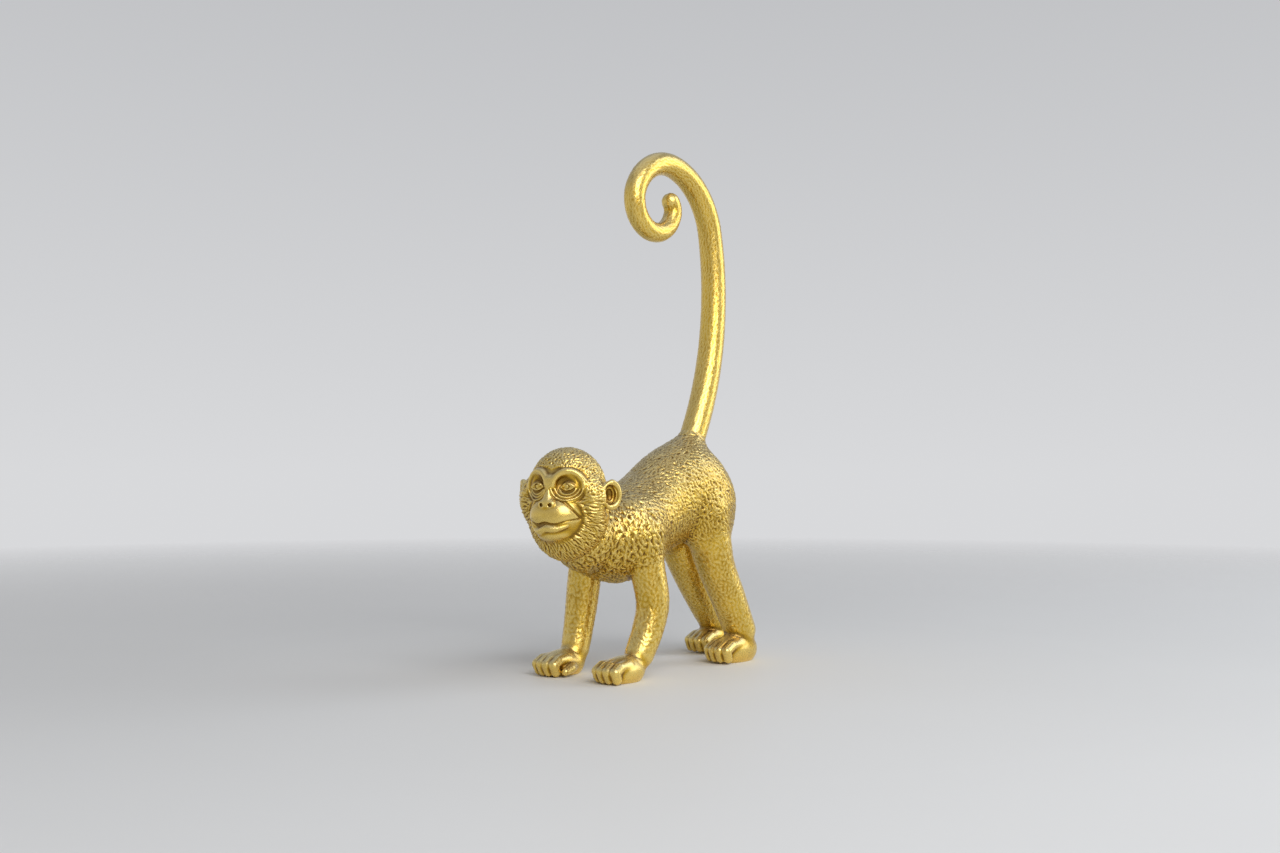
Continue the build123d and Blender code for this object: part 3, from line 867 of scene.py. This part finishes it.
def spread(nodes, links, value, low, high, toLow, toHigh):
    span = nodes.new("ShaderNodeMapRange")
    links.new(value, span.inputs["Value"])
    for key, number in (("From Min", low), ("From Max", high), ("To Min", toLow), ("To Max", toHigh)):
        span.inputs[key].default_value = number
    return span.outputs["Result"]


def worked(nodes, links, task, first, second=None):
    # one step of arithmetic on a value
    step = nodes.new("ShaderNodeMath")
    step.operation = task
    links.new(first, step.inputs[0])
    if isinstance(second, float):
        step.inputs[1].default_value = second
    elif second is not None:
        links.new(second, step.inputs[1])
    return step.outputs[0]


def noiseAt(nodes, links, place, scale, detail=2.0):
    noise = nodes.new("ShaderNodeTexNoise")
    noise.inputs["Scale"].default_value = scale
    noise.inputs["Detail"].default_value = detail
    links.new(place, noise.inputs["Vector"])
    return noise.outputs["Fac"]


# Tones of the gold paint. The pale tone for raised parts is a painted highlight, the pale tone for faces turned
# up a painted sheen of light from above, and the dark recess tone painted shade together with a brown wash.
goldTones = {"raised": (0.82, 0.60, 0.16), "plain": (0.71, 0.45, 0.038), "worn": (0.56, 0.33, 0.02),
             "recess": (0.17, 0.082, 0.006), "topSheen": (0.64, 0.585, 0.37)}
# How the tones are laid: worn patches at random, painted highlight on raised parts, painted sheen on faces
# turned up, painted shade in hollows and in the fine grooves of the fur.
goldPaintAndLight = {
    "patchScale": 110.0, "patchDetail": 3.0, "patch": (0.35, 0.65), "raisedHighlight": (0.5, 0.25),
    "topSheen": (0.1, 0.9), "topSheenMost": 0.65, "shadeAndWash": (0.52, 0.86), "bareKeeps": 0.8,
    "lineScale": 260.0, "lineDetail": 1.0, "lineCount": 44.0, "dip": (-0.2, -0.9), "shadeDipMost": 0.38,
    "grainScale": 1400.0, "grainDetail": 2.0, "grain": (0.3, 0.7), "roughness": (0.22, 0.36),
}
goldFinish = {"Metallic": 0.84, "Coat Weight": 0.2, "Coat Roughness": 0.2}
goldBump = {"Strength": 0.3, "Distance": 0.0001}
steelFinish = {"Metallic": 1.0, "Roughness": 0.35}
steelGrain = {"scale": 900.0, "tones": ((0.42, 0.42, 0.44, 1), (0.66, 0.66, 0.68, 1))}


def goldGroup():
    # gold paint with painted light: paler on faces turned up, a painted sheen of light from above; brighter on
    # raised parts, a painted highlight; brown in hollows, painted shade together with the wash that settles
    # there; darker in the fine grooves of the fur, painted shade
    paintAndLight = goldPaintAndLight
    group = bpy.data.node_groups.new("gold_paint_and_painted_light", "ShaderNodeTree")
    socketed(group, "Place", "NodeSocketVector", "INPUT")
    socketed(group, "Cavity", "NodeSocketFloat", "INPUT")
    socketed(group, "Furry", "NodeSocketFloat", "INPUT")
    socketed(group, "Facing", "NodeSocketVector", "INPUT")
    socketed(group, "Colour", "NodeSocketColor", "OUTPUT")
    socketed(group, "Roughness", "NodeSocketFloat", "OUTPUT")
    socketed(group, "Height", "NodeSocketFloat", "OUTPUT")
    nodes, links = group.nodes, group.links
    given = nodes.new("NodeGroupInput")
    result = nodes.new("NodeGroupOutput")
    place, cavity, furry = (given.outputs[label] for label in ("Place", "Cavity", "Furry"))
    patchNoise = noiseAt(nodes, links, place, paintAndLight["patchScale"], paintAndLight["patchDetail"])
    patches = spread(nodes, links, patchNoise, *paintAndLight["patch"], 0, 1)
    colour = mixedBy(nodes, links, patches, goldTones["plain"], goldTones["worn"])
    # raised parts are paler: a painted highlight
    raisedHighlight = spread(nodes, links, cavity, *paintAndLight["raisedHighlight"], 0, 1)
    colour = mixedBy(nodes, links, raisedHighlight, colour, goldTones["raised"])
    # faces turned up are paler: a painted sheen of light from above
    facing = nodes.new("ShaderNodeSeparateXYZ")
    links.new(given.outputs["Facing"], facing.inputs["Vector"])
    topSheen = spread(nodes, links, facing.outputs["Z"], *paintAndLight["topSheen"], 0, paintAndLight["topSheenMost"])
    colour = mixedBy(nodes, links, topSheen, colour, goldTones["topSheen"])
    # hollows turn brown: painted shade, together with the brown wash that settles there
    shadeAndWash = spread(nodes, links, cavity, *paintAndLight["shadeAndWash"], 0, 1)
    kept = spread(nodes, links, furry, 0, 1, paintAndLight["bareKeeps"], 1)      # bare skin gets less of the painted shade and the wash
    shadeAndWash = worked(nodes, links, "MULTIPLY", shadeAndWash, kept)
    colour = mixedBy(nodes, links, shadeAndWash, colour, goldTones["recess"])
    # fine curly strands: level lines of a soft noise, only where there is fur, darkened towards the recess tone
    # as painted shade in their grooves
    lineNoise = noiseAt(nodes, links, place, paintAndLight["lineScale"], paintAndLight["lineDetail"])
    lines = worked(nodes, links, "SINE", worked(nodes, links, "MULTIPLY", lineNoise, paintAndLight["lineCount"]))
    shadeDips = spread(nodes, links, lines, *paintAndLight["dip"], 0, paintAndLight["shadeDipMost"])
    shadeDips = worked(nodes, links, "MULTIPLY", shadeDips, furry)
    colour = mixedBy(nodes, links, shadeDips, colour, goldTones["recess"])
    links.new(colour, result.inputs["Colour"])
    grain = noiseAt(nodes, links, place, paintAndLight["grainScale"], paintAndLight["grainDetail"])
    roughness = spread(nodes, links, grain, *paintAndLight["grain"], *paintAndLight["roughness"])
    links.new(roughness, result.inputs["Roughness"])
    strands = worked(nodes, links, "MULTIPLY", lines, furry)
    links.new(worked(nodes, links, "ADD", grain, strands), result.inputs["Height"])
    return group


def goldMaterial():
    mat = bpy.data.materials.new("gold_paint")
    mat.use_nodes = True
    nodes, links = mat.node_tree.nodes, mat.node_tree.links
    shader = nodes["Principled BSDF"]
    for key, value in goldFinish.items():
        shader.inputs[key].default_value = value
    place = nodes.new("ShaderNodeTexCoord")
    paintAndLight = nodes.new("ShaderNodeGroup")
    paintAndLight.node_tree = goldGroup()
    links.new(place.outputs["Object"], paintAndLight.inputs["Place"])
    links.new(place.outputs["Normal"], paintAndLight.inputs["Facing"])
    for label in ("cavity", "furry"):
        note = nodes.new("ShaderNodeAttribute")
        note.attribute_name = label
        links.new(note.outputs["Fac"], paintAndLight.inputs[label.capitalize()])
    links.new(paintAndLight.outputs["Colour"], shader.inputs["Base Color"])
    links.new(paintAndLight.outputs["Roughness"], shader.inputs["Roughness"])
    bump = nodes.new("ShaderNodeBump")
    for key, value in goldBump.items():
        bump.inputs[key].default_value = value
    links.new(paintAndLight.outputs["Height"], bump.inputs["Height"])
    links.new(bump.outputs["Normal"], shader.inputs["Normal"])
    return mat


def steelMaterial():
    mat = bpy.data.materials.new("drawn_steel")
    mat.use_nodes = True
    nodes, links = mat.node_tree.nodes, mat.node_tree.links
    shader = nodes["Principled BSDF"]
    for key, value in steelFinish.items():
        shader.inputs[key].default_value = value
    grain = nodes.new("ShaderNodeTexNoise")
    grain.inputs["Scale"].default_value = steelGrain["scale"]
    ramp = nodes.new("ShaderNodeValToRGB")
    for element, tone in zip(ramp.color_ramp.elements, steelGrain["tones"]):
        element.color = tone
    links.new(grain.outputs["Fac"], ramp.inputs["Fac"])
    links.new(ramp.outputs["Color"], shader.inputs["Base Color"])
    return mat


gold = goldMaterial()
steel = steelMaterial()


def finishPiece(piece, node):
    piece.data.materials.append(gold)
    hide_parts(node)
    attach(piece, "root")
    print("made", piece.name, len(piece.data.vertices))


finishPiece(sculptTorso(), "torso")
finishPiece(sculptHead(), "head")
for limbName in limbForms:
    finishPiece(sculptLimb(limbName), limbName)
finishPiece(sculptTail(), "tail")
for nodeName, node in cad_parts.items():
    if nodeName.endswith("wire") or nodeName.endswith("dowel"):
        node.data.materials.clear()
        node.data.materials.append(steel)


# Stage, in metres: a round pale floor that fades into a pale world, soft lights and the photograph's camera
stageForm = {
    "radius": 1.2, "segments": 96, "solidTo": 0.2, "goneAt": 1.1, "floor": (0.82, 0.86), "floorRoughness": 0.6,
    "floorGrain": 6.0, "horizon": (0.69, 0.695, 0.71), "zenith": (0.33, 0.34, 0.36), "zenithFrom": (0.0, 0.8),
    "room": (0.50, 0.49, 0.475), "roomSide": (0.656, -0.755, 0.0), "roomFrom": (0.0, 0.9), "worldLight": 0.5,
    "aim": (0, 0, 0.09),
}
lampForms = {
    "window": {"place": (0.55, 0.70, 0.50), "size": (0.6, 0.9), "power": 3.2, "colour": (0.88, 0.94, 1)},
    "front": {"place": (0.78, -0.35, 0.65), "size": (0.75, 0.75), "power": 6.5, "colour": (1, 1, 1)},
    "overhead": {"place": (-0.1, 0.05, 1.1), "size": (0.9, 0.9), "power": 0.8, "colour": (1, 1, 1)},
}
# Focal length and width of the photograph in pixels, angles in degrees, the camera's place in millimetres
cameraForm = {"sensor": 36.0, "focal": 1333, "wide": 1280, "nearest": 0.01, "azimuth": 41.0, "rise": 2.04,
              "across": 6.19, "away": 534.6, "eye": 77.0}


def makeFloor():
    mesh = bpy.data.meshes.new("floor")
    build = bmesh.new()
    bmesh.ops.create_circle(build, cap_ends=True, segments=stageForm["segments"], radius=stageForm["radius"])
    build.to_mesh(mesh)
    build.free()
    floor = bpy.data.objects.new("floor", mesh)
    bpy.context.scene.collection.objects.link(floor)
    mat = bpy.data.materials.new("pale_floor")
    mat.use_nodes = True
    nodes, links = mat.node_tree.nodes, mat.node_tree.links
    shader = nodes["Principled BSDF"]
    shader.inputs["Roughness"].default_value = stageForm["floorRoughness"]
    place = nodes.new("ShaderNodeTexCoord").outputs["Object"]
    grain = noiseAt(nodes, links, place, stageForm["floorGrain"])
    dark, light = ((tone, tone, tone) for tone in stageForm["floor"])
    links.new(mixedBy(nodes, links, grain, dark, light), shader.inputs["Base Color"])
    reach = nodes.new("ShaderNodeVectorMath")
    reach.operation = "LENGTH"
    links.new(place, reach.inputs[0])
    shown = spread(nodes, links, reach.outputs["Value"], stageForm["solidTo"], stageForm["goneAt"], 1, 0)
    links.new(shown, shader.inputs["Alpha"])
    mesh.materials.append(mat)


def makeWorld():
    world = bpy.data.worlds.new("studio")
    world.use_nodes = True
    nodes, links = world.node_tree.nodes, world.node_tree.links
    way = nodes.new("ShaderNodeSeparateXYZ")
    place = nodes.new("ShaderNodeTexCoord").outputs["Generated"]
    links.new(place, way.inputs["Vector"])
    height = spread(nodes, links, way.outputs["Z"], *stageForm["zenithFrom"], 0, 1)
    sky = mixedBy(nodes, links, height, stageForm["horizon"], stageForm["zenith"])
    # the room is darker on the side of the camera
    side = nodes.new("ShaderNodeVectorMath")
    side.operation = "DOT_PRODUCT"
    links.new(place, side.inputs[0])
    side.inputs[1].default_value = stageForm["roomSide"]
    turned = spread(nodes, links, side.outputs["Value"], *stageForm["roomFrom"], 0, 1)
    sky = mixedBy(nodes, links, turned, sky, stageForm["room"])
    links.new(sky, nodes["Background"].inputs["Color"])
    # seen, also in the metal, at full strength, but a weaker source of light
    path = nodes.new("ShaderNodeLightPath")
    seen = worked(nodes, links, "MAXIMUM", path.outputs["Is Camera Ray"], path.outputs["Is Glossy Ray"])
    seen = worked(nodes, links, "MAXIMUM", seen, path.outputs["Is Transmission Ray"])
    strength = spread(nodes, links, seen, 0, 1, stageForm["worldLight"], 1)
    links.new(strength, nodes["Background"].inputs["Strength"])
    bpy.context.scene.world = world


def softLight(name, form):
    data = bpy.data.lights.new(name, "AREA")
    data.shape = "RECTANGLE"
    data.size, data.size_y = form["size"]
    data.energy = form["power"]
    data.color = form["colour"]
    lamp = bpy.data.objects.new(name, data)
    lamp.location = form["place"]
    aim = Vector(stageForm["aim"]) - Vector(form["place"])
    lamp.rotation_euler = aim.to_track_quat("-Z", "Y").to_euler()
    bpy.context.scene.collection.objects.link(lamp)


def makeCamera():
    form = cameraForm
    data = bpy.data.cameras.new("camera")
    data.sensor_width = form["sensor"]
    data.lens = form["sensor"] * form["focal"] / form["wide"]
    data.clip_start = form["nearest"]
    camera = bpy.data.objects.new("camera", data)
    azimuth = math.radians(form["azimuth"])
    c, s = math.cos(azimuth), math.sin(azimuth)
    camera.location = ((-form["across"] * c + form["away"] * s) * metre,
                       (-form["across"] * s - form["away"] * c) * metre, form["eye"] * metre)
    camera.rotation_euler = (math.radians(90 + form["rise"]), 0, azimuth)
    bpy.context.scene.collection.objects.link(camera)
    bpy.context.scene.camera = camera


makeFloor()
makeWorld()
for lampName, lampForm in lampForms.items():
    softLight(lampName, lampForm)
bpy.context.scene.view_settings.view_transform = "Standard"
makeCamera()
print("stage set with", len(lampForms), "lights")
